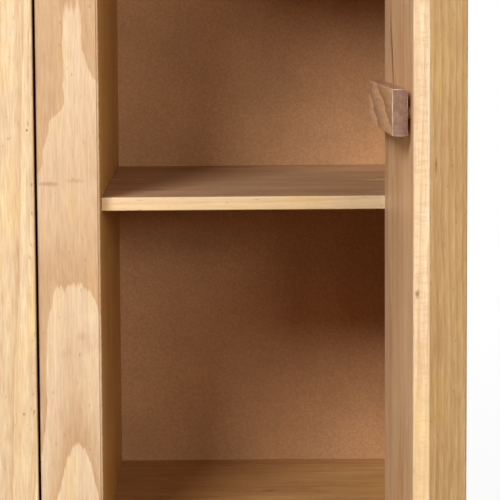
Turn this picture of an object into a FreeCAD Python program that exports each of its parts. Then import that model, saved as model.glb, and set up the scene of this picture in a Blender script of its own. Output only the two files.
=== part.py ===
# Three-door pine wardrobe. Millimetres, +Z up, the front faces -Y.
# The origin is the middle of the body's footprint, on the floor, under the centre foot.
import FreeCAD, Part
import Sketcher
import os
import re

doc = FreeCAD.newDocument("wardrobe")

# Driving dimensions
SIZES = {
    # Body: width over the side panels, depth from the face frame to the back edges
    "body_width": 1140,
    "body_depth": 490,
    "body_top": 1695,
    "panel_thickness": 15,
    "edge_ease": 1,
    # Top board, with its overhangs
    "top_thickness": 20,
    "top_overhang_side": 20,
    "top_overhang_front": 10,
    "top_ease": 3,
    # Face frame
    "frame_thickness": 15.5,
    "stile_width": 65.5,
    "top_rail_height": 65,
    "bottom_rail_height": 65,
    "frame_ease": 3,
    # Bottom board and what carries it
    "bottom_height": 175,
    "bottom_setback": 2,
    "cleat_side": 20,
    "foot_side": 60,
    "foot_dowel_spacing": 30,
    "glide_radius": 7,
    "glide_height": 3,
    "glide_inset": 45,
    # Hardboard back, let into the side panels
    "back_thickness": 3,
    "rebate_width": 8,
    "back_joint": 1,
    "back_rail_height": 50,
    "nail_spacing": 180,
    "nail_joint_offset": 4,
    "nail_radius": 0.7,
    "nail_length": 12,
    "nail_head_radius": 2.2,
    "nail_head_height": 0.6,
    # Shelves on pins
    "shelf_thickness": 14,
    "shelf_setback": 6.5,
    "shelf_side_clearance": 0.5,
    "shelf_back_clearance": 0.5,
    "hat_shelf_drop": 295,
    "pin_radius": 2.5,
    "pin_depth": 8,
    "pin_reach": 9,
    "pin_inset": 55,
    # Hanging rail
    "rail_radius": 12.5,
    "rail_wall": 1.5,
    "rail_drop": 60,
    "rail_end_clearance": 1,
    "rail_cup_clearance": 0.2,
    "cup_wall": 2.5,
    "cup_depth": 14,
    "flange_radius": 27,
    "flange_thickness": 3,
    "flange_screw_radius": 20.5,
    # Dowels
    "dowel_radius": 4,
    "dowel_half_length": 12,
    "dowel_inset": 70,
    "back_rail_dowel_inset": 90,
    "frame_dowel_radius": 3,
    "frame_dowel_half_length": 16,
    "frame_dowel_inset": 18,
    # Doors
    "door_gap": 3,
    "door_thickness": 15.5,
    "door_ease": 2,
    "right_door_angle": 89.5,
    # Battens on the doors' inner faces, held off by spacers
    "batten_height": 42,
    "batten_thickness": 14,
    "batten_margin": 17,
    "batten_inset": 493,
    "batten_ease": 1,
    "spacer_thickness": 3,
    "spacer_radius": 6,
    "batten_screw_inset": 12,
    "batten_screw_bite": 9,
    # Butt hinges
    "hinge_length": 50,
    "hinge_inset": 40,
    "hinge_pin_proud": 4,
    "hinge_leaf_thickness": 1.2,
    "hinge_leaf_depth": 13,
    "hinge_pin_radius": 1.3,
    "hinge_pin_clearance": 0.05,
    "hinge_pin_head_radius": 2.4,
    "hinge_pin_head_height": 0.8,
    "knuckle_radius": 3,
    "knuckle_clearance": 0.3,
    "hinge_screw_spacing": 32,
    # Turned knobs
    "knob_neck_radius": 8,
    "knob_neck_length": 10,
    "knob_radius": 16,
    "knob_swell": 5,
    "knob_length": 26,
    "knob_foot_radius": 11,
    "knob_foot_length": 3,
    "knob_foot_taper": 3,
    "knob_round": 7,
    "knob_rise": 752,
    "knob_inset": 35,
    "knob_screw_bite": 13,
    # Magnetic catches behind the top rail
    "catch_width": 30,
    "catch_depth": 15,
    "catch_height": 46,
    "catch_drop": 26,
    "catch_inset": 40,
    "catch_air": 0.5,
    "strike_thickness": 1.5,
    "strike_height": 16,
    "strike_margin": 5,
    "strike_stud_radius": 1.5,
    "strike_stud_length": 8,
    # Screws
    "screw_radius": 1.5,
    "screw_head_radius": 2.8,
    "screw_head_height": 1.2,
    "small_screw_length": 12,
    "knob_screw_radius": 2,
    "knob_screw_head_radius": 4,
    "knob_screw_crown_radius": 2.8,
    "knob_screw_head_height": 2.5,
}

# The right bay's three shelves part it into equal cells
SHELF_CELLS = 4

# Places and lengths that follow from the driving dimensions
PLACES = {
    "front": "-body_depth / 2",
    "rear": "body_depth / 2",
    "frame_back": "front + frame_thickness",
    "back_face": "rear - back_thickness",
    "side_outside": "body_width / 2",
    "side_inside": "side_outside - panel_thickness",
    "stile_inside": "side_outside - stile_width",
    "door_width": "(body_width - 3 * stile_width - 5 * door_gap) / 3",
    "right_bay": "door_width + 2 * door_gap",
    "post_right": "stile_inside - right_bay",
    "post_left": "post_right - stile_width",
    "partition_left": "post_right - panel_thickness",
    "partition_middle": "post_right - panel_thickness / 2",
    "foot_bottom": "glide_height",
    "bottom_top": "bottom_height + panel_thickness",
    "door_back": "front + door_thickness",
    "bottom_front": "door_back + bottom_setback",
    "bottom_rail_low": "bottom_height - bottom_rail_height",
    "top_rail_low": "body_top - top_rail_height",
    "door_bottom": "bottom_height + door_gap",
    "knob_height": "door_bottom + knob_rise",
    "door_top": "top_rail_low - door_gap",
    "back_low": "bottom_height - bottom_setback",
    "shelf_front": "door_back + shelf_setback",
    "shelf_back": "back_face - shelf_back_clearance",
    "shelf_pitch": f"(body_top + panel_thickness - bottom_top) / {SHELF_CELLS}",
    "hat_shelf_top": "body_top - hat_shelf_drop",
    "hat_shelf_low": "hat_shelf_top - panel_thickness",
    "rail_height": "hat_shelf_top - rail_drop",
    "pin_y": "front - hinge_pin_proud",
    "left_pin_x": "-stile_inside + door_gap / 2",
    "middle_pin_x": "post_left - door_gap / 2",
    "right_pin_x": "stile_inside - door_gap / 2",
    "door_near": "door_gap / 2",
    "door_far": "door_gap / 2 + door_width",
    "door_outer": "hinge_pin_proud",
    "door_inner": "hinge_pin_proud + door_thickness",
    "batten_back": "door_inner + spacer_thickness",
    "batten_face": "batten_back + batten_thickness",
    "batten_screw_length": "batten_thickness + spacer_thickness + batten_screw_bite",
    "knob_screw_length": "door_thickness + knob_screw_bite",
    "leaf_inner": "door_gap / 2 - hinge_leaf_thickness",
    "leaf_near": "knuckle_radius + knuckle_clearance",
    "leaf_tail": "leaf_near + hinge_leaf_depth",
    "leaf_middle": "(leaf_near + leaf_tail) / 2",
    "knuckle_length": "(hinge_length - 2 * knuckle_clearance) / 3",
    "strike_face": "door_inner + strike_thickness",
    "catch_face": "strike_face + catch_air",
    "catch_low": "top_rail_low - catch_drop",
    "catch_high": "catch_low + catch_height",
    "strike_low": "catch_low + strike_margin",
    "strike_near": "door_far - catch_inset - catch_width",
    "strike_far": "door_far - catch_inset",
    "catch_middle": "door_far - catch_inset - catch_width / 2",
}

# Each door: the sheet place of its hinge pin, which way it reaches from it, and its rest opening
DOORS = {
    "left": ("left_pin_x", 1, "0"),
    "middle": ("middle_pin_x", -1, "0"),
    "right": ("right_pin_x", -1, "right_door_angle"),
}

# Turns that point a fastener's head, modelled facing up, another way
FACING = {
    "up": FreeCAD.Rotation(),
    "front": FreeCAD.Rotation(FreeCAD.Vector(1, 0, 0), 90),
    "back": FreeCAD.Rotation(FreeCAD.Vector(1, 0, 0), -90),
    "right": FreeCAD.Rotation(FreeCAD.Vector(0, 1, 0), 90),
    "left": FreeCAD.Rotation(FreeCAD.Vector(0, 1, 0), -90),
    "turned over": FreeCAD.Rotation(FreeCAD.Vector(0, 1, 0), 180),
}

ALL_EDGES = (
    "front top", "front bottom", "front left", "front right",
    "back top", "back bottom", "back left", "back right",
    "left top", "left bottom", "right top", "right bottom",
)

SNAP = 0.001

sheet = doc.addObject("Spreadsheet::Sheet", "Size")
for row, (alias, number) in enumerate(SIZES.items(), start=1):
    sheet.set(f"A{row}", alias)
    sheet.set(f"B{row}", str(number))
    sheet.setAlias(f"B{row}", alias)
doc.recompute()

nodes = {}


def formula(text):
    """Write a length out in full: places become their formulas, sizes become sheet cells."""
    def replace(match):
        word = match.group(0)
        if word in PLACES:
            return "(" + formula(PLACES[word]) + ")"
        if word in SIZES:
            return "Size." + word
        return word
    return re.sub(r"[a-z][a-z_]*", replace, text)


def bind(thing, **lengths):
    for name, text in lengths.items():
        thing.setExpression(name, formula(text))


def place(thing, x="0", y="0", z="0"):
    for axis, text in zip("xyz", (x, y, z)):
        thing.setExpression("Placement.Base." + axis, formula(text))


def keep(label, thing):
    """Take a finished piece as a node of the wardrobe."""
    thing.Label = label
    nodes[label] = thing
    return thing


def hang(label, thing, door):
    """Take a piece made about a door's hinge pin as a node, at that door's place and opening."""
    pin_x, reach, opening = DOORS[door]
    hung = doc.addObject("Part::Compound", label)
    hung.Links = [thing]
    place(hung, pin_x, "pin_y")
    hung.setExpression("Placement.Rotation.Angle", formula(opening))
    return keep(label, hung)


def span(reach, near, far):
    """The low and high ends of a stretch that runs from a door's pin in the way it reaches."""
    if reach > 0:
        return near, far
    return f"-({far})", f"-({near})"


def edges_between(shape, corners):
    """Names of a block's edges where two named sides meet."""
    box = shape.BoundBox
    sides = {
        "left": lambda point: abs(point.x - box.XMin) < SNAP,
        "right": lambda point: abs(point.x - box.XMax) < SNAP,
        "front": lambda point: abs(point.y - box.YMin) < SNAP,
        "back": lambda point: abs(point.y - box.YMax) < SNAP,
        "bottom": lambda point: abs(point.z - box.ZMin) < SNAP,
        "top": lambda point: abs(point.z - box.ZMax) < SNAP,
    }
    found = []
    for corner in corners:
        one, other = corner.split()
        for number, edge in enumerate(shape.Edges, start=1):
            middle = edge.CenterOfMass
            if sides[one](middle) and sides[other](middle):
                found.append(f"Edge{number}")
    return found


def board(name, x, y, z, eased=(), ease="edge_ease"):
    """A rectangular board between two corners, with the named edges rounded."""
    body = doc.addObject("PartDesign::Body", name)
    block = body.newObject("PartDesign::AdditiveBox", name + "_block")
    for side, (low, high) in zip(("Length", "Width", "Height"), (x, y, z)):
        block.setExpression(side, formula(f"({high}) - ({low})"))
    place(body, x[0], y[0], z[0])
    doc.recompute()
    if eased:
        rounding = body.newObject("PartDesign::Fillet", name + "_eased_edges")
        rounding.Base = (block, edges_between(block.Shape, eased))
        bind(rounding, Radius=ease)
        body.Tip = rounding
        doc.recompute()
    return body


def outline(body, name, plane, points):
    """A closed sketch of straight lines on one of the body's own planes, each corner bound."""
    sketch = body.newObject("Sketcher::SketchObject", name)
    for feature in body.Origin.OriginFeatures:
        if feature.Role == plane:
            sketch.AttachmentSupport = [(feature, "")]
    sketch.MapMode = "FlatFace"
    doc.recompute()
    corners = [[value(text) for text in point] for point in points]
    for start, end in zip(corners, corners[1:] + corners[:1]):
        first = FreeCAD.Vector(start[0], start[1], 0)
        last = FreeCAD.Vector(end[0], end[1], 0)
        sketch.addGeometry(Part.LineSegment(first, last))
    count = len(points)
    for number in range(count):
        sketch.addConstraint(Sketcher.Constraint("Coincident", number, 2, (number + 1) % count, 1))
    for number, point in enumerate(points):
        for kind, axis, text, length in zip(("DistanceX", "DistanceY"), (-2, -1), point, corners[number]):
            if abs(length) < SNAP:
                sketch.addConstraint(Sketcher.Constraint("PointOnObject", number, 1, axis))
            else:
                index = sketch.addConstraint(Sketcher.Constraint(kind, -1, 1, number, 1, length))
                sketch.setExpression(f"Constraints[{index}]", formula(text))
    doc.recompute()
    return sketch


def value(text):
    """A formula's number."""
    return float(sheet.evalExpression(formula(text)))


def cylinder(name, radius, height, x="0", y="0", z="0", facing="up"):
    rod = doc.addObject("Part::Cylinder", name)
    bind(rod, Radius=radius, Height=height)
    rod.Placement.Rotation = FACING[facing]
    place(rod, x, y, z)
    return rod


def joined(name, things):
    union = doc.addObject("Part::MultiFuse", name)
    union.Shapes = things
    return union


def grouped(name, things):
    group = doc.addObject("Part::Compound", name)
    group.Links = things
    return group


def cut(name, base, tool):
    result = doc.addObject("Part::Cut", name)
    result.Base = base
    result.Tool = tool
    return result


def screw(name, radius, length, head_radius, head_height):
    """A countersunk screw whose flat head lies at the origin, facing up."""
    head = doc.addObject("Part::Cone", name + "_head")
    bind(head, Radius1=radius, Radius2=head_radius, Height=head_height)
    place(head, z=f"-({head_height})")
    shank = cylinder(name + "_shank", radius, length, z=f"-({length})")
    return joined(name, [head, shank])


def along(low, high, spacing, margin):
    """Evenly spread places between two ends, at most a spacing apart."""
    stretch = value(f"({high}) - ({low}) - 2 * ({margin})")
    steps = max(1, round(stretch / value(spacing)))
    return [f"({low}) + ({margin}) + (({high}) - ({low}) - 2 * ({margin})) * {step} / {steps}"
            for step in range(steps + 1)]


def copies(name, master, spots):
    """Separate copies of one piece, each at (x, y, z, facing)."""
    links = []
    for number, (x, y, z, facing) in enumerate(spots):
        link = doc.addObject("App::Link", f"{name}_{number}")
        link.LinkedObject = master
        link.Placement.Rotation = FACING[facing]
        place(link, x, y, z)
        links.append(link)
    return grouped(name, links)


# Fasteners come first, because the boards' holes are cut by the fasteners themselves
wood_screw = screw("wood_screw", "screw_radius", "small_screw_length", "screw_head_radius", "screw_head_height")
batten_screw = screw("batten_screw", "screw_radius", "batten_screw_length", "screw_head_radius", "screw_head_height")

PANEL_LINES = ("-(side_outside - panel_thickness / 2)", "partition_middle", "side_outside - panel_thickness / 2")
DOWEL_ROWS = ("frame_back + dowel_inset", "back_face - dowel_inset")

# Dowels: through each joint between two boards, half their length in either one
dowel = cylinder("dowel", "dowel_radius", "2 * dowel_half_length")
dowel_spots = []
for row in DOWEL_ROWS:
    for line in PANEL_LINES:
        dowel_spots.append((line, row, "body_top - dowel_half_length", "up"))
    dowel_spots.append(("partition_middle", row, "bottom_top - dowel_half_length", "up"))
    for end in ("-side_inside", "side_inside"):
        dowel_spots.append((f"{end} - dowel_half_length", row, "bottom_height + panel_thickness / 2", "right"))
for sign in ("-", "+"):
    dowel_spots.append((f"{sign} foot_dowel_spacing / 2", "0", "bottom_height - dowel_half_length", "up"))
for low, high in (("-side_inside", "partition_left"), ("post_right", "side_inside")):
    for line in (f"{low} + back_rail_dowel_inset", f"{high} - back_rail_dowel_inset"):
        dowel_spots.append((line, "back_face - panel_thickness / 2", "body_top - dowel_half_length", "up"))
dowels = keep("dowels", copies("panel_dowels", dowel, dowel_spots))

# Thinner dowels in the face frame, two at each joint of a rail with a stile
frame_dowel = cylinder("frame_dowel", "frame_dowel_radius", "2 * frame_dowel_half_length")
frame_dowel_spots = []
for sign in ("-", "+"):
    for low, height in (("bottom_rail_low", "bottom_rail_height"), ("top_rail_low", "top_rail_height")):
        level = f"{low} + {height} / 2 {sign} frame_dowel_inset"
        for joint in ("-stile_inside", "stile_inside"):
            frame_dowel_spots.append(
                (f"{joint} - frame_dowel_half_length", "front + frame_thickness / 2", level, "right"))
    for joint in ("bottom_height", "top_rail_low"):
        frame_dowel_spots.append(
            (f"post_left + stile_width / 2 {sign} frame_dowel_inset", "front + frame_thickness / 2",
             f"{joint} - frame_dowel_half_length", "up"))
frame_dowels = keep("frame_dowels", copies("face_frame_dowels", frame_dowel, frame_dowel_spots))

# Nails of the hardboard back, their heads sunk flush
nail_head = cylinder("nail_head", "nail_head_radius", "nail_head_height", z="-nail_head_height")
nail_shank = cylinder("nail_shank", "nail_radius", "nail_length", z="-nail_length")
nail = joined("nail", [nail_head, nail_shank])
nail_spots = []
NAIL_LINES = ("-side_inside - rebate_width / 2", "partition_middle - nail_joint_offset",
              "partition_middle + nail_joint_offset", "side_inside + rebate_width / 2")
for level in along("bottom_height", "body_top", "nail_spacing", "panel_thickness / 2"):
    for line in NAIL_LINES:
        nail_spots.append((line, "rear", level, "back"))
for low, high in ((NAIL_LINES[0], NAIL_LINES[1]), (NAIL_LINES[2], NAIL_LINES[3])):
    for line in along(low, high, "nail_spacing", "0")[1:-1]:
        nail_spots.append((line, "rear", "bottom_height + panel_thickness / 2", "back"))
        nail_spots.append((line, "rear", "body_top - panel_thickness", "back"))
nails = keep("back_nails", copies("hardboard_nails", nail, nail_spots))

# Shelf pins: half in the panel, half under the shelf
pin = cylinder("shelf_pin", "pin_radius", "pin_depth + pin_reach")
SHELVES = {
    "shelf_lower": "bottom_top + shelf_pitch",
    "shelf_middle": "bottom_top + 2 * shelf_pitch",
    "shelf_upper": "bottom_top + 3 * shelf_pitch",
}
pin_spots = []
for row in ("shelf_front + pin_inset", "shelf_back - pin_inset"):
    for top in SHELVES.values():
        level = f"{top} - shelf_thickness - pin_radius"
        pin_spots.append(("post_right - pin_depth", row, level, "right"))
        pin_spots.append(("side_inside + pin_depth", row, level, "left"))
    pin_spots.append(("-side_inside - pin_depth", row, "hat_shelf_low - pin_radius", "right"))
    pin_spots.append(("partition_left + pin_depth", row, "hat_shelf_low - pin_radius", "left"))
pins = keep("shelf_pins", copies("shelf_pin_set", pin, pin_spots))

# Hanging rail: a tube whose ends lie in two cupped flanges, each held by two screws
RAIL_ENDS = (("-side_inside", "right"), ("partition_left", "left"))
flange_screw_spots = []
for wall, facing in RAIL_ENDS:
    sign = "+" if facing == "right" else "-"
    for up in ("-", "+"):
        flange_screw_spots.append(
            (f"{wall} {sign} flange_thickness", "0", f"rail_height {up} flange_screw_radius", facing))
flange_screws = keep("rail_flange_screws", copies("flange_screws", wood_screw, flange_screw_spots))
flange_plate = cylinder("flange_plate", "flange_radius", "flange_thickness")
flange_cup = cylinder("flange_cup", "rail_radius + rail_cup_clearance + cup_wall", "flange_thickness + cup_depth")
flange_mouth = cylinder("flange_mouth", "rail_radius + rail_cup_clearance", "cup_depth", z="flange_thickness")
flange = cut("flange", joined("flange_blank", [flange_plate, flange_cup]), flange_mouth)
flanges = copies("flange_pair", flange, [(wall, "0", "rail_height", facing) for wall, facing in RAIL_ENDS])
keep("rail_flanges", cut("rail_flanges", flanges, flange_screws))

rail_end = "flange_thickness + rail_end_clearance"
rail_length = f"partition_left + side_inside - 2 * ({rail_end})"
tube = cylinder("rail_outside", "rail_radius", rail_length, f"-side_inside + {rail_end}", "0", "rail_height", "right")
bore = cylinder("rail_inside", "rail_radius - rail_wall", rail_length,
                f"-side_inside + {rail_end}", "0", "rail_height", "right")
keep("hanging_rail", cut("hanging_rail", tube, bore))

# Hinges: leaves lie in the gap beside each door, their pin just in front of the face
HINGE_LEVELS = (
    "door_bottom + hinge_inset",
    "(door_bottom + door_top) / 2",
    "door_top - hinge_inset",
)


def block(name, x, y, z):
    box = doc.addObject("Part::Box", name)
    for side, (low, high) in zip(("Length", "Width", "Height"), (x, y, z)):
        box.setExpression(side, formula(f"({high}) - ({low})"))
    place(box, x[0], y[0], z[0])
    return box


def hinge_leaf(name, knuckles, bore_radius, side):
    """A leaf about its pin, with a knuckle at each (low, high) level; side says where the leaf lies."""
    x = span(side, "leaf_inner", "door_gap / 2")
    parts = [block(name + "_plate", x, ("leaf_near", "leaf_tail"), ("-hinge_length / 2", "hinge_length / 2"))]
    for number, (low, high) in enumerate(knuckles):
        parts.append(block(f"{name}_tab_{number}", x, ("hinge_pin_radius", "leaf_near"), (low, high)))
        parts.append(cylinder(f"{name}_knuckle_{number}", "knuckle_radius", f"({high}) - ({low})", z=low))
    hole = cylinder(name + "_bore", bore_radius, "hinge_length", z="-hinge_length / 2")
    return cut(name, joined(name + "_blank", parts), hole)


middle_knuckle = ("-knuckle_length / 2", "knuckle_length / 2")
lower_knuckle = ("-hinge_length / 2", "-hinge_length / 2 + knuckle_length")
upper_knuckle = ("hinge_length / 2 - knuckle_length", "hinge_length / 2")
door_leaf = hinge_leaf("door_leaf", [middle_knuckle], "hinge_pin_radius + hinge_pin_clearance", 1)
frame_leaf = hinge_leaf("frame_leaf", [lower_knuckle, upper_knuckle], "hinge_pin_radius", -1)

pin_rod = cylinder("hinge_pin_rod", "hinge_pin_radius", "hinge_length", z="-hinge_length / 2")
pin_head = cylinder("hinge_pin_head", "hinge_pin_head_radius", "hinge_pin_head_height", z="hinge_length / 2")
hinge_pin = joined("hinge_pin", [pin_rod, pin_head])

frame_leaf_spots = []
frame_screw_spots = []
hinge_pin_spots = []
for pin_x, reach, opening in DOORS.values():
    turn = "up" if reach > 0 else "turned over"
    for level in HINGE_LEVELS:
        frame_leaf_spots.append((pin_x, "pin_y", level, turn))
        hinge_pin_spots.append((pin_x, "pin_y", level, "up"))
        for sign in ("-", "+"):
            offset = "- leaf_inner" if reach > 0 else "+ leaf_inner"
            frame_screw_spots.append(
                (f"{pin_x} {offset}", "pin_y + leaf_middle", f"{level} {sign} hinge_screw_spacing / 2",
                 "right" if reach > 0 else "left"))
frame_hinge_screws = keep("hinge_frame_screws", copies("frame_leaf_screws", wood_screw, frame_screw_spots))
frame_leaves = copies("frame_leaf_set", frame_leaf, frame_leaf_spots)
keep("hinge_frame_leaves", cut("hinge_frame_leaves", frame_leaves, frame_hinge_screws))
keep("hinge_pins", copies("hinge_pins", hinge_pin, hinge_pin_spots))

# Side panels, with a rebate for the hardboard in the inner back corner
side_depth = "rear - frame_back"
step_depth = "back_face - frame_back"
LEFT_SECTION = [("0", "0"), ("panel_thickness", "0"), ("panel_thickness", step_depth),
                ("panel_thickness - rebate_width", step_depth), ("panel_thickness - rebate_width", side_depth),
                ("0", side_depth)]
RIGHT_SECTION = [("0", "0"), ("panel_thickness", "0"), ("panel_thickness", side_depth),
                 ("rebate_width", side_depth), ("rebate_width", step_depth), ("0", step_depth)]
for side, section, low in (("left", LEFT_SECTION, "-side_outside"), ("right", RIGHT_SECTION, "side_inside")):
    panel = doc.addObject("PartDesign::Body", f"side_{side}_board")
    place(panel, low, "frame_back", "foot_bottom")
    section_sketch = outline(panel, f"side_{side}_section", "XY_Plane", section)
    pad = panel.newObject("PartDesign::Pad", f"side_{side}_pad")
    pad.Profile = section_sketch
    bind(pad, Length="body_top - foot_bottom")
    doc.recompute()
    fasteners = [dowels, nails, pins]
    if side == "left":
        fasteners.append(flange_screws)
    tools = grouped(f"side_{side}_holes", fasteners)
    keep(f"side_panel_{side}", cut(f"side_panel_{side}", panel, tools))

partition = board("partition_board", ("partition_left", "post_right"), ("frame_back", "back_face"),
                  ("bottom_top", "body_top"))
partition_holes = grouped("partition_holes", [dowels, nails, pins, flange_screws])
keep("partition_panel", cut("partition_panel", partition, partition_holes))

bottom = board("bottom_blank", ("-side_inside", "side_inside"), ("bottom_front", "back_face"),
               ("bottom_height", "bottom_top"), ("front top", "front bottom"))
keep("bottom_board", cut("bottom_board", bottom, grouped("bottom_holes", [dowels, nails])))

top = board("top_blank", ("-side_outside - top_overhang_side", "side_outside + top_overhang_side"),
            ("front - top_overhang_front", "rear"), ("body_top", "body_top + top_thickness"),
            ("front top", "front bottom", "left top", "left bottom", "right top", "right bottom",
             "front left", "front right"), "top_ease")
keep("top_board", cut("top_board", top, dowels))

for side, low, high in (("left", "-side_inside - rebate_width", "partition_middle - back_joint / 2"),
                        ("right", "partition_middle + back_joint / 2", "side_inside + rebate_width")):
    sheet_board = board(f"back_{side}_blank", (low, high), ("back_face", "rear"), ("back_low", "body_top"))
    keep(f"back_panel_{side}", cut(f"back_panel_{side}", sheet_board, nails))

for side, low, high in (("left", "-side_inside", "partition_left"), ("right", "post_right", "side_inside")):
    rail = board(f"back_rail_{side}_blank", (low, high), ("back_face - panel_thickness", "back_face"),
                 ("body_top - back_rail_height", "body_top"), ("front bottom",))
    keep(f"back_rail_{side}", cut(f"back_rail_{side}", rail, grouped(f"back_rail_{side}_holes", [dowels, nails])))

keep("bottom_cleat", board("bottom_cleat", ("-side_inside", "side_inside"),
                           ("frame_back", "frame_back + cleat_side"),
                           ("bottom_height - cleat_side", "bottom_height"), ("back bottom",)))

foot = board("foot_blank", ("-foot_side / 2", "foot_side / 2"), ("-foot_side / 2", "foot_side / 2"),
             ("foot_bottom", "bottom_height"), ("front left", "front right", "back left", "back right"))
keep("centre_foot", cut("centre_foot", foot, dowels))

glide = cylinder("glide", "glide_radius", "glide_height")
glide_spots = [("0", "0", "0", "up")]
for line in (PANEL_LINES[0], PANEL_LINES[2]):
    for row in ("frame_back + glide_inset", "rear - glide_inset"):
        glide_spots.append((line, row, "0", "up"))
keep("floor_glides", copies("floor_glides", glide, glide_spots))

# Face frame: end stiles down to the floor, rails between them, the centre stile between the rails
STILES = {
    "stile_left": (("-side_outside", "-stile_inside"), ("foot_bottom", "body_top")),
    "stile_centre": (("post_left", "post_right"), ("bottom_height", "top_rail_low")),
    "stile_right": (("stile_inside", "side_outside"), ("foot_bottom", "body_top")),
}
frame_holes = grouped("frame_holes", [frame_dowels, frame_hinge_screws])
for name, (x, z) in STILES.items():
    stile = board(name + "_blank", x, ("front", "frame_back"), z, ("front left", "front right"), "frame_ease")
    keep(name, cut(name, stile, frame_holes))
for name, low, high in (("rail_bottom", "bottom_rail_low", "bottom_height"),
                        ("rail_top", "top_rail_low", "body_top")):
    door_side = "front top" if name == "rail_bottom" else "front bottom"
    rail = board(name + "_blank", ("-stile_inside", "stile_inside"), ("front", "frame_back"), (low, high),
                 (door_side,), "frame_ease")
    keep(name, cut(name, rail, frame_dowels))

# Shelves: three on pins in the right bay, one over the hanging rail in the left bay
for name, top_level in SHELVES.items():
    keep(name, board(name, ("post_right + shelf_side_clearance", "side_inside - shelf_side_clearance"),
                     ("shelf_front", "shelf_back"), (f"{top_level} - shelf_thickness", top_level),
                     ("front top", "front bottom")))
keep("hat_shelf", board("hat_shelf", ("-side_inside + shelf_side_clearance", "partition_left - shelf_side_clearance"),
                        ("shelf_front", "shelf_back"), ("hat_shelf_low", "hat_shelf_top"),
                        ("front top", "front bottom")))

# Magnetic catches: each hangs from the back of the top rail, just behind the door's strike plate
catches = []
rail_back = "frame_back - pin_y"
CATCH_SECTION = [("catch_face", "catch_low"), (f"{rail_back} + catch_depth", "catch_low"),
                 (f"{rail_back} + catch_depth", "catch_high"), (rail_back, "catch_high"),
                 (rail_back, "top_rail_low"), ("catch_face", "top_rail_low")]
for door, (pin_x, reach, opening) in DOORS.items():
    low, high = span(reach, "strike_near", "strike_far")
    catch = doc.addObject("PartDesign::Body", f"catch_{door}")
    place(catch, f"{pin_x} + ({low})", "pin_y")
    catch_sketch = outline(catch, f"catch_{door}_section", "YZ_Plane", CATCH_SECTION)
    pad = catch.newObject("PartDesign::Pad", f"catch_{door}_pad")
    pad.Profile = catch_sketch
    bind(pad, Length="catch_width")
    doc.recompute()
    catches.append(catch)
keep("magnetic_catches", grouped("magnetic_catches", catches))

# Turned knob, modelled standing on its foot
knob_body = doc.addObject("PartDesign::Body", "knob_turning")
KNOB_SECTION = [("0", "0"), ("knob_foot_radius", "0"), ("knob_foot_radius", "knob_foot_length"),
                ("knob_neck_radius", "knob_foot_length + knob_foot_taper"), ("knob_neck_radius", "knob_neck_length"),
                ("knob_radius", "knob_neck_length + knob_swell"), ("knob_radius", "knob_length"),
                ("0", "knob_length")]
knob_sketch = outline(knob_body, "knob_section", "XZ_Plane", KNOB_SECTION)
turning = knob_body.newObject("PartDesign::Revolution", "knob_revolution")
turning.Profile = knob_sketch
turning.ReferenceAxis = (knob_sketch, ["V_Axis"])
turning.Angle = 360
doc.recompute()
rims = []
for number, edge in enumerate(turning.Shape.Edges, start=1):
    circle = edge.Curve
    if isinstance(circle, Part.Circle) and abs(edge.CenterOfMass.z - turning.Shape.BoundBox.ZMax) < SNAP:
        rims.append(f"Edge{number}")
rounding = knob_body.newObject("PartDesign::Fillet", "knob_rounding")
rounding.Base = (turning, rims)
bind(rounding, Radius="knob_round")
knob_body.Tip = rounding
doc.recompute()

knob_screw_head = doc.addObject("Part::Cone", "knob_screw_head")
bind(knob_screw_head, Radius1="knob_screw_head_radius", Radius2="knob_screw_crown_radius",
     Height="knob_screw_head_height")
knob_screw_shank = cylinder("knob_screw_shank", "knob_screw_radius", "knob_screw_length", z="-(knob_screw_length)")
knob_screw = joined("knob_screw", [knob_screw_head, knob_screw_shank])

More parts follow.
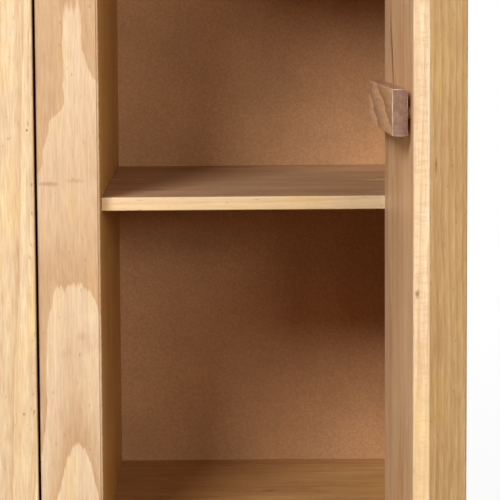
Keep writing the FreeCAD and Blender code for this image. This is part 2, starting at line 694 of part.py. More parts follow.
# Doors: every piece is made about its door's hinge pin, closed, then hung at that door's opening
BATTEN_LEVELS = ("door_bottom + batten_inset", "door_top - batten_inset")
for door, (pin_x, reach, opening) in DOORS.items():
    sign = "" if reach > 0 else "-"
    outward = "left" if reach > 0 else "right"
    turn = "up" if reach > 0 else "turned over"
    name = f"door_{door}"

    batten_screw_spots = []
    spacers = []
    battens = []
    for level in BATTEN_LEVELS:
        x = span(reach, "door_near + batten_margin", "door_far - batten_margin")
        z = (f"{level} - batten_height / 2", f"{level} + batten_height / 2")
        battens.append(board(f"{name}_batten_{len(battens)}", x, ("batten_back", "batten_face"), z,
                             ALL_EDGES, "batten_ease"))
        for end in ("door_near + batten_margin + batten_screw_inset", "door_far - batten_margin - batten_screw_inset"):
            batten_screw_spots.append((f"{sign}({end})", "batten_face", level, "back"))
            spacers.append(cylinder(f"{name}_spacer_{len(spacers)}", "spacer_radius", "spacer_thickness",
                                    f"{sign}({end})", "door_inner", level, "back"))
    batten_screws = copies(f"{name}_batten_screw", batten_screw, batten_screw_spots)

    knob_x = f"{sign}(door_far - knob_inset)"
    knob = copies(f"{name}_knob_turned", knob_body, [(knob_x, "door_outer", "knob_height", "front")])
    knob_fixing = copies(f"{name}_knob_fixing", knob_screw, [(knob_x, "door_inner", "knob_height", "back")])

    hinge_screw_spots = []
    for level in HINGE_LEVELS:
        for side in ("-", "+"):
            hinge_screw_spots.append((f"{sign}leaf_inner", "leaf_middle",
                                      f"{level} {side} hinge_screw_spacing / 2", outward))
    hinge_screws = copies(f"{name}_hinge_screw", wood_screw, hinge_screw_spots)
    leaves = copies(f"{name}_leaf", door_leaf, [("0", "0", level, turn) for level in HINGE_LEVELS])

    strike_plate = block(f"{name}_strike_face", span(reach, "strike_near", "strike_far"),
                         ("door_inner", "strike_face"), ("strike_low", "strike_low + strike_height"))
    strike_stud = cylinder(f"{name}_strike_stud", "strike_stud_radius", "strike_stud_length",
                           f"{sign}(catch_middle)", "door_inner", "strike_low + strike_height / 2", "front")
    strike = joined(f"{name}_strike", [strike_plate, strike_stud])

    panel = board(f"{name}_board", span(reach, "door_near", "door_far"), ("door_outer", "door_inner"),
                  ("door_bottom", "door_top"), ALL_EDGES, "door_ease")
    panel_holes = grouped(f"{name}_holes", [batten_screws, knob_fixing, hinge_screws, strike_stud])
    hang(f"{name}_panel", cut(f"{name}_drilled", panel, panel_holes), door)
    hang(f"{name}_battens",
         cut(f"{name}_battens_drilled", grouped(f"{name}_batten_pair", battens), batten_screws), door)
    hang(f"{name}_batten_spacers",
         cut(f"{name}_spacers_drilled", grouped(f"{name}_spacer_set", spacers), batten_screws), door)
    hang(f"{name}_batten_screws", batten_screws, door)
    hang(f"{name}_knob", cut(f"{name}_knob_drilled", knob, knob_fixing), door)
    hang(f"{name}_knob_screw", knob_fixing, door)
    hang(f"{name}_hinge_leaves", cut(f"{name}_leaves_drilled", leaves, hinge_screws), door)
    hang(f"{name}_hinge_screws", hinge_screws, door)
    hang(f"{name}_strike_plate", strike, door)

doc.recompute()

# Nothing is written unless every object is sound
for thing in doc.Objects:
    if "Invalid" in thing.State or "Error" in thing.State:
        raise RuntimeError(f"{thing.Name} failed: {thing.State}")
for label, thing in nodes.items():
    if thing.Shape.isNull() or not thing.Shape.isValid() or not thing.Shape.Solids:
        raise RuntimeError(f"{label} has no sound solid")

os.makedirs("parts", exist_ok=True)
for label, thing in nodes.items():
    thing.Shape.exportStep(f"parts/{label}.step")
    print(f"{label}: {len(thing.Shape.Solids)} solids, {thing.Shape.Volume / 1000:.1f} cm3")
print(len(nodes), "nodes")
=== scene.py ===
# %% [markdown]
# # A three-door pine wardrobe
#
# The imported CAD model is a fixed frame: every board, hinge and screw already stands in its place.
# This script gives the boards pine grain, the back its hardboard and the fittings their metal,
# puts driven heads on the screws, and sets up the camera, the floor and the light.

# %% Load the frame
import math

import bmesh
import bpy
from mathutils import Matrix, Vector


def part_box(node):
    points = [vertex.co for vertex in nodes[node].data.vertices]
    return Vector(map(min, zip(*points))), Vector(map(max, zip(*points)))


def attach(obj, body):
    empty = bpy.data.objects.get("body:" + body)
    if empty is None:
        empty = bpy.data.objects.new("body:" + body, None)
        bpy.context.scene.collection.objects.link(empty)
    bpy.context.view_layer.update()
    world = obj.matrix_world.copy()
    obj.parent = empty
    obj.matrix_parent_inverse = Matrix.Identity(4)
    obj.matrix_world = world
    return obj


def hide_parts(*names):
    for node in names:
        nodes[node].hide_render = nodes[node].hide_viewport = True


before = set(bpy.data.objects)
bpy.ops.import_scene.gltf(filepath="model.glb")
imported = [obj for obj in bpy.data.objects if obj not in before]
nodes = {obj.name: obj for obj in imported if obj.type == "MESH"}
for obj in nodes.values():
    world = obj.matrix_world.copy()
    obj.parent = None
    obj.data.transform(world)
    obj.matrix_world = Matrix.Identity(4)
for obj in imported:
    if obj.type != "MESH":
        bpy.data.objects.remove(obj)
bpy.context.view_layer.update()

# %% [markdown]
# ## Camera
#
# The photograph looks into the right-hand bay from a little over two metres. The wardrobe's edges
# converge downwards, so the camera tilts down, and its frame is shifted to the right and down.

# %% Camera
IMAGE_SIDE = 500
FOCAL_PIXELS = 2046.3
CAMERA_PLACE = (0.2946, -2.3582, 0.7531)
TILT_DOWN = math.radians(4.847)
ROLL = math.radians(-0.428)
SHIFT_RIGHT = 0.0960
SHIFT_UP = -0.11

lens = bpy.data.cameras.new("camera")
lens.lens = FOCAL_PIXELS / IMAGE_SIDE * lens.sensor_width
lens.shift_x = SHIFT_RIGHT
lens.shift_y = SHIFT_UP
camera = bpy.data.objects.new("camera", lens)
level_view = Matrix.Rotation(math.radians(90) - TILT_DOWN, 4, "X")
camera.matrix_world = Matrix.Translation(CAMERA_PLACE) @ level_view @ Matrix.Rotation(ROLL, 4, "Z")
bpy.context.scene.collection.objects.link(camera)
bpy.context.scene.camera = camera
bpy.context.scene.view_settings.view_transform = "Standard"
print(f"camera with a {lens.lens:.0f} mm lens")

# %% [markdown]
# ## Light
#
# A lamp's level is how bright it makes a white surface that faces it, so levels that add up to
# about one show colours as they are written. The main lamp stands far off to the left of the
# camera and throws each shelf's shadow down the back. A lower one on the right reaches what the
# partition keeps from the first. Two more behind the wardrobe light its back and sides. Only the
# main lamp is mirrored, so the others leave no glare on the top.

# %% Light
LIT_PLACE = Vector((0.35, 0, 0.5))
LAMPS = {
    # name: (degrees to the left of the camera's line, degrees up, distance, width, height, level)
    "main_lamp": (24, 29.5, 9.0, 2.9, 2.9, 0.85),
    "right_lamp": (-20, 10, 4.0, 2.0, 0.6, 0.50),
    "back_left_lamp": (145, 30, 4.5, 2.0, 2.0, 0.50),
    "back_right_lamp": (-130, 30, 4.5, 2.0, 2.0, 0.48),
}
MIRRORED_LAMP = "main_lamp"


def add_lamp(name, left, up, distance, width, height, level):
    """A soft rectangular lamp, turned towards the open bay."""
    light = bpy.data.lights.new(name, "AREA")
    light.shape = "RECTANGLE"
    light.size = width
    light.size_y = height
    light.energy = level * math.pi ** 2 * distance ** 2
    lamp = bpy.data.objects.new(name, light)
    lamp.visible_camera = False
    lamp.visible_glossy = name == MIRRORED_LAMP
    aside = Matrix.Rotation(math.radians(-left), 4, "Z")
    raised = Matrix.Rotation(math.radians(90 - up), 4, "X")
    away = Matrix.Translation((0, 0, distance))
    lamp.matrix_world = Matrix.Translation(LIT_PLACE) @ aside @ raised @ away
    bpy.context.scene.collection.objects.link(lamp)


for name, settings in LAMPS.items():
    add_lamp(name, *settings)
print(len(LAMPS), "lamps")

# %% [markdown]
# ## Node helpers
#
# Materials are small node trees on object coordinates. These helpers add a node, feed its inputs
# with numbers, colours or other nodes' outputs, and do the sums that come up often.

# %% Node helpers
def feed(tree, made, inputs):
    """Give a node's inputs numbers, colours or other nodes' outputs."""
    for key, given in inputs.items():
        if isinstance(given, bpy.types.NodeSocket):
            tree.links.new(given, made.inputs[key])
        else:
            made.inputs[key].default_value = given


def add(tree, kind, inputs=None, **settings):
    """Add a node with its settings and inputs."""
    made = tree.nodes.new(kind)
    for name, setting in settings.items():
        setattr(made, name, setting)
    feed(tree, made, inputs or {})
    return made


def calculate(tree, operation, *values, clamp=False):
    """The result of a Math node."""
    inputs = dict(enumerate(values))
    return add(tree, "ShaderNodeMath", inputs, operation=operation, use_clamp=clamp).outputs[0]


def product(tree, first, *others):
    """Several levels multiplied together."""
    for other in others:
        first = calculate(tree, "MULTIPLY", first, other)
    return first


def ramp(tree, level, zero, slope):
    """Zero where a level has a given value, climbing or falling from there, and kept from 0 to 1."""
    return calculate(tree, "MULTIPLY_ADD", level, slope, -zero * slope, clamp=True)


def vary(tree, level, strength):
    """A factor about one that follows a level between 0 and 1."""
    return calculate(tree, "MULTIPLY_ADD", level, strength, 1 - strength / 2)


print("sums ready")


# %% Colours and coordinates
def mix_colours(tree, share, first, second, blend="MIX"):
    """One colour blended into another by a share."""
    inputs = {"Factor": share, 6: first, 7: second}
    return add(tree, "ShaderNodeMix", inputs, data_type="RGBA", blend_type=blend).outputs[2]


def one_grey(tree, level):
    """A grey from a level, to multiply a colour by."""
    inputs = {"Red": level, "Green": level, "Blue": level}
    return add(tree, "ShaderNodeCombineColor", inputs).outputs[0]


def noise(tree, place, scale, detail=2.0):
    """Soft noise between 0 and 1."""
    inputs = {"Vector": place, "Scale": scale, "Detail": detail}
    return add(tree, "ShaderNodeTexNoise", inputs).outputs["Fac"]


def stretched(tree, place, scale):
    """A place scaled along each axis, which stretches what is drawn on it."""
    return add(tree, "ShaderNodeMapping", {"Vector": place, "Scale": scale}).outputs[0]


def one_axis(tree, place, axis):
    """One coordinate of a place, by its axis x, y or z."""
    return add(tree, "ShaderNodeSeparateXYZ", {0: place}).outputs[axis.upper()]


def new_material(name):
    """An empty material with its node tree, shader and object coordinates."""
    material = bpy.data.materials.new(name)
    material.use_nodes = True
    tree = material.node_tree
    shader = tree.nodes["Principled BSDF"]
    place = add(tree, "ShaderNodeTexCoord").outputs["Object"]
    return material, tree, shader, place


def bump(tree, shader, height, distance):
    """Let a height between 0 and 1 catch the light, over a depth in metres."""
    relief = add(tree, "ShaderNodeBump", {"Height": height, "Distance": distance, "Strength": 1.0})
    feed(tree, shader, {"Normal": relief.outputs[0]})


print("colours and coordinates ready")

# %% [markdown]
# ## Background
#
# The floor and the world look white to the camera, and the world is dimmer in reflections. The
# floor keeps a share of its own shading near the wardrobe, so that the shadow still shows, and
# turns white further off.

# %% Floor
FLOOR_SIDE = 200
FLOOR_SEEN = 0.85
FLOOR_LIT = 0.12
FLOOR_WHITE_SHARE = 0.88
FLOOR_FADE_START = 0.8
FLOOR_FADE_LENGTH = 2.0
WHITE = (1, 1, 1, 1)


def seen_directly(tree):
    """One for rays from the camera, straight or through a clear piece, and zero for others."""
    path = add(tree, "ShaderNodeLightPath").outputs
    return calculate(tree, "MAXIMUM", path["Is Camera Ray"], path["Is Transmission Ray"])


def floor_paint():
    """White that keeps a share of its shading near the wardrobe."""
    material, tree, shader, place = new_material("floor_paint")
    seen = seen_directly(tree)
    paint = add(tree, "ShaderNodeMix", {"Factor": seen, 2: FLOOR_LIT, 3: FLOOR_SEEN}).outputs[0]
    feed(tree, shader, {"Base Color": paint, "Roughness": 0.9, "Specular IOR Level": 0.1})
    white = add(tree, "ShaderNodeEmission", {"Color": WHITE, "Strength": 1.0})
    distance = add(tree, "ShaderNodeVectorMath", {0: place}, operation="LENGTH").outputs["Value"]
    fade = calculate(tree, "SUBTRACT", distance, FLOOR_FADE_START)
    fade = calculate(tree, "DIVIDE", fade, FLOOR_FADE_LENGTH, clamp=True)
    share = calculate(tree, "MULTIPLY_ADD", fade, 1 - FLOOR_WHITE_SHARE, FLOOR_WHITE_SHARE)
    inputs = {0: product(tree, seen, share), 1: shader.outputs[0], 2: white.outputs[0]}
    blend = add(tree, "ShaderNodeMixShader", inputs)
    feed(tree, tree.nodes["Material Output"], {"Surface": blend.outputs[0]})
    return material


half = FLOOR_SIDE / 2
corners = [(-half, -half, 0), (half, -half, 0), (half, half, 0), (-half, half, 0)]
floor_mesh = bpy.data.meshes.new("floor")
floor_mesh.from_pydata(corners, [], [(0, 1, 2, 3)])
floor_mesh.materials.append(floor_paint())
floor = bpy.data.objects.new("floor", floor_mesh)
bpy.context.scene.collection.objects.link(floor)
print("floor", FLOOR_SIDE, "m wide")

# %% World
AMBIENT = 0.008
MIRRORED_WORLD = 0.25

world = bpy.data.worlds.new("studio")
world.use_nodes = True
tree = world.node_tree
mirrored = add(tree, "ShaderNodeLightPath").outputs["Is Glossy Ray"]
strength = add(tree, "ShaderNodeMix", {"Factor": mirrored, 2: AMBIENT, 3: MIRRORED_WORLD}).outputs[0]
strength = add(tree, "ShaderNodeMix", {"Factor": seen_directly(tree), 2: strength, 3: 1.0}).outputs[0]
feed(tree, tree.nodes["Background"], {"Color": WHITE, "Strength": strength})
bpy.context.scene.world = world
print("world lights with", AMBIENT, "and is mirrored with", MIRRORED_WORLD)

# %% [markdown]
# ## Pine
#
# Growth rings are cylinders about the tree's pith, which runs nearly along a board and lies some
# way behind its face. Cut by the face, they show as long arches in the middle of a board and as
# straight streaks away from it. Each ring goes slowly from cream to tan and then back at once.
# Wide boards are glued from planks, and each plank gets a pith of its own.
#
# A board's place is given as across it, into it and along its grain.

# %% Ring settings
GRAIN_INPUTS = {
    "plank_width": 0.09,
    "pith_depth": 0.07,
    "pith_aside": 0.0,
    "pith_scatter": 0.08,
    "spread": 1.0,
    "flank": 10.0,
    "slope": 0.02,
    "bend": 0.0,
    "ring": 0.008,
    "wander": 0.005,
    "jagged": 0.0012,
    "seed": 0.0,
}
# Each noise's fineness across a board, into it and along its grain, and its detail
EDGE_WANDER = ((34, 34, 4.5), 2.0)
EDGE_JAGGED = ((300, 300, 20), 4.0)
EDGE_ROUNDING = ((60, 60, 34), 3.0)
GRAIN_NOISES = {
    "fibre": ((560, 560, 40), 5.0),
    "streak": ((120, 120, 5), 4.0),
    "dash": ((820, 820, 75), 1.0),
    "fleck": ((420, 420, 130), 0.0),
    "cloud": ((34, 34, 14), 4.0),
}
GRAIN_OUTPUTS = ("late", "plank", *GRAIN_NOISES)
PLANK_STEP = 7.31
NOISE_STEP = 3.7
RING_FADE = 1.8
RING_START = 50.0
FLANK_WANDER = -0.010
FLANK_JAGGED = 0.0025
FLANK_ROUNDING = 0.008
FLANK_SOFTNESS = 0.0008
FLANK_TONE = 0.82
print(len(GRAIN_INPUTS), "inputs and", len(GRAIN_OUTPUTS), "outputs")


# %% Planks and piths
def grain_noise(tree, place, fineness, detail):
    """Noise drawn out along the grain."""
    return noise(tree, stretched(tree, place, fineness), 1.0, detail)


def centred(tree, level):
    """A level between 0 and 1, moved to lie about zero."""
    return calculate(tree, "SUBTRACT", level, 0.5)


def find_plank(group, given, across):
    """Which plank a place is in, the place in that plank's own noises, and three chance levels."""
    plank = calculate(group, "ROUND", calculate(group, "DIVIDE", across, given["plank_width"]))
    number = calculate(group, "MULTIPLY_ADD", plank, PLANK_STEP, given["seed"])
    chance = add(group, "ShaderNodeTexWhiteNoise", {"W": number}, noise_dimensions="1D")
    levels = add(group, "ShaderNodeSeparateXYZ", {0: chance.outputs["Color"]}).outputs
    shift = product(group, number, NOISE_STEP)
    moved = add(group, "ShaderNodeCombineXYZ", {"X": shift, "Y": shift, "Z": shift}).outputs[0]
    own = add(group, "ShaderNodeVectorMath", {0: given["place"], 1: moved}, operation="ADD").outputs[0]
    return plank, own, levels


def find_pith(group, given, axes, plank, side, depth):
    """How far a place is from its plank's pith, sideways and into the board."""
    across, into, along = axes
    middle = calculate(group, "MULTIPLY_ADD", plank, given["plank_width"], given["pith_aside"])
    scatter = product(group, centred(group, side), given["pith_scatter"])
    aside = calculate(group, "SUBTRACT", calculate(group, "SUBTRACT", across, middle), scatter)
    scatter = product(group, centred(group, depth), given["pith_scatter"])
    behind = calculate(group, "ADD", given["pith_depth"], scatter)
    behind = calculate(group, "SUBTRACT", behind, into)
    behind = calculate(group, "MULTIPLY_ADD", along, given["slope"], behind)
    behind = calculate(group, "MULTIPLY_ADD", product(group, along, along), given["bend"], behind)
    return aside, behind


print("planks and piths ready")


# %% Ring group
def ring_group():
    """How dark a ring is at a place in a board, with the streaks, flecks and clouds beside it."""
    group = bpy.data.node_groups.new("growth_rings", "ShaderNodeTree")
    group.interface.new_socket("place", in_out="INPUT", socket_type="NodeSocketVector")
    for name in GRAIN_INPUTS:
        group.interface.new_socket(name, in_out="INPUT", socket_type="NodeSocketFloat")
    for name in GRAIN_OUTPUTS:
        group.interface.new_socket(name, in_out="OUTPUT", socket_type="NodeSocketFloat")
    given = add(group, "NodeGroupInput").outputs
    axes = add(group, "ShaderNodeSeparateXYZ", {0: given["place"]}).outputs
    plank, own, (side, depth, tone) = find_plank(group, given, axes[0])
    aside, behind = find_pith(group, given, axes, plank, side, depth)
    sideways = product(group, aside, given["spread"])
    squares = calculate(group, "MULTIPLY_ADD", sideways, sideways, product(group, behind, behind))
    far = calculate(group, "SQRT", squares)

    # The ring's edge wanders and is ragged, and its pale part starts softly behind it
    wander = centred(group, grain_noise(group, own, *EDGE_WANDER))
    jagged = centred(group, grain_noise(group, own, *EDGE_JAGGED))
    far = calculate(group, "MULTIPLY_ADD", wander, given["wander"], far)
    far = calculate(group, "MULTIPLY_ADD", jagged, given["jagged"], far)
    ring = calculate(group, "FRACT", calculate(group, "DIVIDE", far, given["ring"]))
    slow = calculate(group, "POWER", calculate(group, "SUBTRACT", 1.0, ring), RING_FADE)
    quick = calculate(group, "MULTIPLY", ring, RING_START, clamp=True)
    late = product(group, slow, quick)

    # Past a given flank of an arch, the wood is as dark as just outside it
    rounding = centred(group, grain_noise(group, own, *EDGE_ROUNDING))
    flank = given["flank"]
    for level, reach in ((wander, FLANK_WANDER), (jagged, FLANK_JAGGED), (rounding, FLANK_ROUNDING)):
        flank = calculate(group, "MULTIPLY_ADD", level, reach, flank)
    beyond = calculate(group, "SUBTRACT", calculate(group, "ABSOLUTE", aside), flank)
    beyond = calculate(group, "DIVIDE", beyond, FLANK_SOFTNESS, clamp=True)
    darker = calculate(group, "SUBTRACT", FLANK_TONE, late)
    late = calculate(group, "MULTIPLY_ADD", beyond, darker, late)

    results = {name: grain_noise(group, own, *drawn) for name, drawn in GRAIN_NOISES.items()}
    feed(group, add(group, "NodeGroupOutput"), results | {"late": late, "plank": tone})
    return group


rings = ring_group()
print("ring group with", len(rings.nodes), "nodes")

# %% [markdown]
# A pine material turns object coordinates into a board's own directions and colours the rings.
# Streaks, fine fibre and clouds vary the tone, and dashes and flecks of resin darken it. Sawn ends
# are darker than faces. The finish is a thin clear varnish, so the gloss is soft and the relief
# slight.
#
# A ramp is a pair: where it is zero, and how steeply it climbs from there.

# %% Pine settings
# Pale and dark parts of the rings, by the place they are seen in
TONES = {
    "front": ((0.78, 0.575, 0.355, 1), (0.60, 0.38, 0.20, 1)),
    "stile": ((0.715, 0.51, 0.322, 1), (0.545, 0.325, 0.17, 1)),
    # The stile's rounded edge is painted darker, with a thin dark line where the rounding starts: painted
    # shade
    "stile_edge_painted_shade": ((0.66, 0.455, 0.27, 1), (0.55, 0.35, 0.19, 1)),
    "stile_line_painted_shade": ((0.36, 0.20, 0.10, 1), (0.30, 0.15, 0.07, 1)),
    "end_stile": ((0.88, 0.585, 0.275, 1), (0.68, 0.385, 0.135, 1)),
    "partition": ((0.57, 0.315, 0.085, 1), (0.43, 0.21, 0.05, 1)),
    "shelf": ((0.55, 0.345, 0.205, 1), (0.39, 0.22, 0.11, 1)),
    "lipping": ((0.745, 0.53, 0.305, 1), (0.55, 0.335, 0.16, 1)),
    "bottom": ((0.57, 0.315, 0.12, 1), (0.44, 0.22, 0.07, 1)),
    # The open door's inner face is paler than its outside: partly its own pink tone, partly painted light
    # for the little lamp light it gets
    "door_back": ((0.99, 0.67, 0.395, 1), (0.83, 0.49, 0.27, 1)),
    "door_edge": ((0.775, 0.565, 0.36, 1), (0.65, 0.425, 0.225, 1)),
    "batten": ((0.95, 0.61, 0.37, 1), (0.52, 0.26, 0.12, 1)),
}
SAWN_END = (0.70, 0.58, 0.48, 1)
WORN_END = (0.235, 0.20, 0.21, 1)
# The pale colour of the battens' rounded edges: partly wear from rubbing, partly painted highlight
PALE_EDGE_WEAR_AND_HIGHLIGHT = (0.86, 0.70, 0.56, 1)
CHALK = (0.62, 0.50, 0.44, 1)
CRACK = (0.24, 0.06, 0.015, 1)
# The dark brown of resin, also used for the lines of painted shade along the stiles' edges
RESIN_AND_PAINTED_SHADE = (0.30, 0.13, 0.05, 1)
YELLOWED = (1.0, 0.95, 0.78, 1)
DASH = (0.72, 0.52, 0.34, 1)
TICK = (0.55, 0.33, 0.16, 1)
SHADE_POWERS = {"Red": 0.72, "Green": 1.2, "Blue": 1.45}
GRAIN_STRENGTHS = {"fibre": 0.55, "streak": 0.36, "cloud": 0.34}
YELLOW_RAMP = (0.52, 5.0)
DASH_RAMP = (0.6, 6.0)
DASH_CLOUD_RAMP = (1.5 / 2.2, -2.2)
DASH_SHARE = 0.42
FLECK_RAMP = (6.8 / 9.0, 9.0)
FLECK_SHARE = 0.5
FIBRE_RELIEF = 0.00008
print(len(TONES), "pairs of pine tones")


# %% Shades and tones
def warm_shade(tree, level):
    """A shade that turns browner as it darkens, to multiply a colour by."""
    channels = {channel: calculate(tree, "POWER", level, power) for channel, power in SHADE_POWERS.items()}
    return add(tree, "ShaderNodeCombineColor", channels).outputs[0]


def board_tones(tree, place, tones, second):
    """Pale and dark tones, with others below a level on one axis, as on a lipping or one face."""
    early, late = TONES[tones]
    for axis, level, other in second:
        above = calculate(tree, "GREATER_THAN", one_axis(tree, place, axis), level)
        early = mix_colours(tree, above, TONES[other][0], early)
        late = mix_colours(tree, above, TONES[other][1], late)
    return early, late


def grain_shade(tree, grain, plank_contrast, streaks):
    """The shade that planks, fibre, streaks and clouds give together."""
    shade = vary(tree, grain["plank"], plank_contrast)
    for output, strength in GRAIN_STRENGTHS.items():
        shade = product(tree, shade, vary(tree, grain[output], strength * streaks))
    return shade


def add_resin(tree, grain, colour):
    """Yellowed clouds, short dark dashes and small flecks."""
    colour = mix_colours(tree, ramp(tree, grain["cloud"], *YELLOW_RAMP), colour, YELLOWED, "MULTIPLY")
    clear = ramp(tree, grain["cloud"], *DASH_CLOUD_RAMP)
    dash = product(tree, ramp(tree, grain["dash"], *DASH_RAMP), clear, DASH_SHARE)
    colour = mix_colours(tree, dash, colour, DASH, "MULTIPLY")
    fleck = product(tree, ramp(tree, grain["fleck"], *FLECK_RAMP), FLECK_SHARE)
    return mix_colours(tree, fleck, colour, RESIN_AND_PAINTED_SHADE)


print("shades and tones ready")

# %% [markdown]
# The centre stile's arches are shaped by widths that change with height.

# %% Arches
def by_height(tree, height, widths):
    """A width that changes with height, straight from one given place to the next."""
    lowest, highest = widths[0][0], widths[-1][0]
    widest = max(width for _, width in widths)
    share = add(tree, "ShaderNodeMapRange", {0: height, 1: lowest, 2: highest}).outputs[0]
    curve = add(tree, "ShaderNodeFloatCurve", {"Value": share})
    points = curve.mapping.curves[0].points
    for level, width in widths[1:-1]:
        points.new((level - lowest) / (highest - lowest), width / widest)
    points[0].location = (0, widths[0][1] / widest)
    points[len(points) - 1].location = (1, widths[-1][1] / widest)
    for point in points:
        point.handle_type = "VECTOR"
    curve.mapping.update()
    return product(tree, curve.outputs[0], widest)


def arches(tree, place, across, left_flank, right_flank, spread):
    """The flank and the spread of a board's arches at a place."""
    height = one_axis(tree, place, "z")
    left, right = (by_height(tree, height, widths) for widths in (left_flank, right_flank))
    to_right = calculate(tree, "GREATER_THAN", across, 0.0)
    flank = add(tree, "ShaderNodeMix", {"Factor": to_right, 2: left, 3: right}).outputs[0]
    return {"flank": flank, "spread": by_height(tree, height, spread)}


print("arches ready")

# %% [markdown]
# Marks, saw ticks and wear lie over the grain. The dark lines along the stiles' edges are painted shade,
# and the pale rounded edges of the battens are partly wear and partly a painted highlight. Ticks and wear
# depend on the way a face looks.

# %% Marks
MARK_FINENESS = 180.0
MARK_RIM = 1.2
CRACK_RAGGED = 0.6
MARK_RAGGED = 1.4


def mark(tree, place, middle, reach, ragged):
    """One at a small mark's middle, fading to zero at its ragged rim."""
    uneven = calculate(tree, "MULTIPLY_ADD", noise(tree, place, MARK_FINENESS, 3.0), ragged, -ragged / 2)
    moved = add(tree, "ShaderNodeVectorMath", {0: place, 1: middle}, operation="SUBTRACT").outputs[0]
    shared = add(tree, "ShaderNodeVectorMath", {0: moved, 1: reach}, operation="DIVIDE").outputs[0]
    away = add(tree, "ShaderNodeVectorMath", {0: shared}, operation="LENGTH").outputs["Value"]
    return calculate(tree, "SUBTRACT", MARK_RIM, calculate(tree, "ADD", away, uneven), clamp=True)


def add_marks(tree, place, colour, gloss, marks):
    """Cracks, knots, stains and lines of painted shade over a colour. They are dull, so they lower the
    gloss too.
    """
    for middle, reach, mark_colour, strength in marks:
        ragged = CRACK_RAGGED if mark_colour is CRACK else MARK_RAGGED
        share = product(tree, mark(tree, place, middle, reach, ragged), strength)
        colour = mix_colours(tree, share, colour, mark_colour)
        gloss = product(tree, gloss, calculate(tree, "SUBTRACT", 1.0, share))
    return colour, gloss


print("marks ready")

# %% Ticks, wear and a painted highlight
TICK_RAMP = (3.3 / 7.0, 7.0)
TICK_FADE = (1.0, -3.0)
TICK_FACING = 0.8
TICK_SHARE = 0.3
SAWN_RAMP = (0.55, 4.0)
SAWN_SIDE_SHARE = 0.72
CHALK_FINENESS = 170.0
CHALK_RAMP = (0.4, 3.0)
CHALK_SHARE = 0.13
# Where rounded edges turn pale: partly wear from rubbing, partly painted highlight
RUB_AND_HIGHLIGHT_RAMP = (8.8 / 9.0, -9.0)
RUB_AND_HIGHLIGHT_FINENESS = 110.0
RUB_AND_HIGHLIGHT_PATCHES = (0.44, 5.0)
RUB_AND_HIGHLIGHT_SHARE = 0.75


def face_directions(tree):
    """How squarely a face looks along each axis, from 0 to 1."""
    normal = add(tree, "ShaderNodeTexCoord").outputs["Normal"]
    return {axis: calculate(tree, "ABSOLUTE", one_axis(tree, normal, axis)) for axis in "xyz"}


def sawn_share(tree, facing, directions, wear_and_highlight):
    """One on a board's sawn ends. The narrow faces of a batten with wear are sawn too."""
    across, _, along = directions
    endwise = facing[along]
    if wear_and_highlight:
        endwise = calculate(tree, "MAXIMUM", endwise, product(tree, facing[across], SAWN_SIDE_SHARE))
    return ramp(tree, endwise, *SAWN_RAMP)


def add_ticks(tree, place, facing, colour, ticks):
    """Faint saw ticks across the middle of an edge that looks to the front."""
    edge_middle, half_width, fineness = ticks
    off = calculate(tree, "SUBTRACT", one_axis(tree, place, "x"), edge_middle)
    off = calculate(tree, "DIVIDE", calculate(tree, "ABSOLUTE", off), half_width)
    on_edge = calculate(tree, "GREATER_THAN", facing["y"], TICK_FACING)
    tick = ramp(tree, grain_noise(tree, place, fineness, 2.0), *TICK_RAMP)
    tick = product(tree, tick, ramp(tree, off, *TICK_FADE), on_edge, TICK_SHARE)
    return mix_colours(tree, tick, colour, TICK)


def add_wear_and_highlight(tree, place, facing, sawn_part, colour, wear_and_highlight):
    """Sawn faces are chalky in places, and rounded edges are pale: partly wear from rubbing, partly a
    painted highlight.
    """
    chalk = ramp(tree, noise(tree, place, CHALK_FINENESS, 4.0), *CHALK_RAMP)
    colour = mix_colours(tree, product(tree, chalk, sawn_part, CHALK_SHARE), colour, CHALK)
    flattest = calculate(tree, "MAXIMUM", facing["y"], facing["z"])
    flattest = calculate(tree, "MAXIMUM", facing["x"], flattest)
    patches = ramp(tree, noise(tree, place, RUB_AND_HIGHLIGHT_FINENESS, 4.0), *RUB_AND_HIGHLIGHT_PATCHES)
    rub_and_highlight = product(tree, ramp(tree, flattest, *RUB_AND_HIGHLIGHT_RAMP), patches, RUB_AND_HIGHLIGHT_SHARE)
    return mix_colours(tree, rub_and_highlight, colour, wear_and_highlight)


print("ticks and wear ready")

# %% [markdown]
# A pine is made from these steps, in the order in which they lie over each other. The board's
# directions across, into and along its grain are named by object axes, such as "xyz". Where the
# first of its second tones is a lipping, it can be calm: it keeps less of the rings and streaks.

# %% Pine
SAWN_RING_LOSS = 0.75


